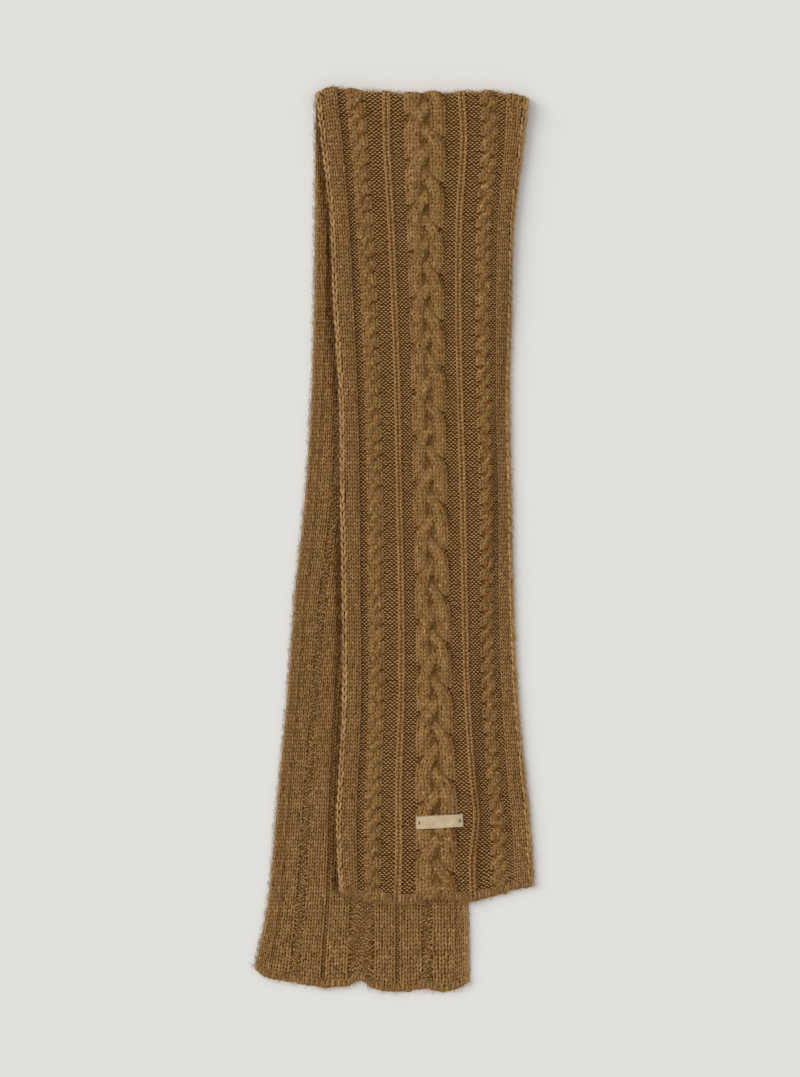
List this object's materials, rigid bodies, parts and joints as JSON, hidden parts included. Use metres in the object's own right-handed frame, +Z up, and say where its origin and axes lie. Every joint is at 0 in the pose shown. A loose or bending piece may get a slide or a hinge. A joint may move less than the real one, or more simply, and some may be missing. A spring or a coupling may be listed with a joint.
{
  "type": "cable-knit scarf",
  "caption": "Long cable-knit wool scarf laid flat and folded over once, with a plait between rope cables and a small sewn-on label.",
  "frame": {"origin": "on the table, under the middle of the folded scarf's bounding box", "axes": "+Y along the scarf towards its fold, +X across it, +Z up from the table"},
  "size_m": [0.2954, 0.9574, 0.013],
  "materials": {
    "yarn": "brushed camel-brown alpaca and wool knit, soft and hairy",
    "label_cloth": "pale beige woven tape, bare",
    "tack_thread": "dark brown sewing thread"
  },
  "bodies": {
    "root": {"back_tail": "yarn", "fold": "yarn", "front_tail": "yarn", "label": "label_cloth", "label_tack_left": "tack_thread", "label_tack_right": "tack_thread"}
  },
  "joints": []
}
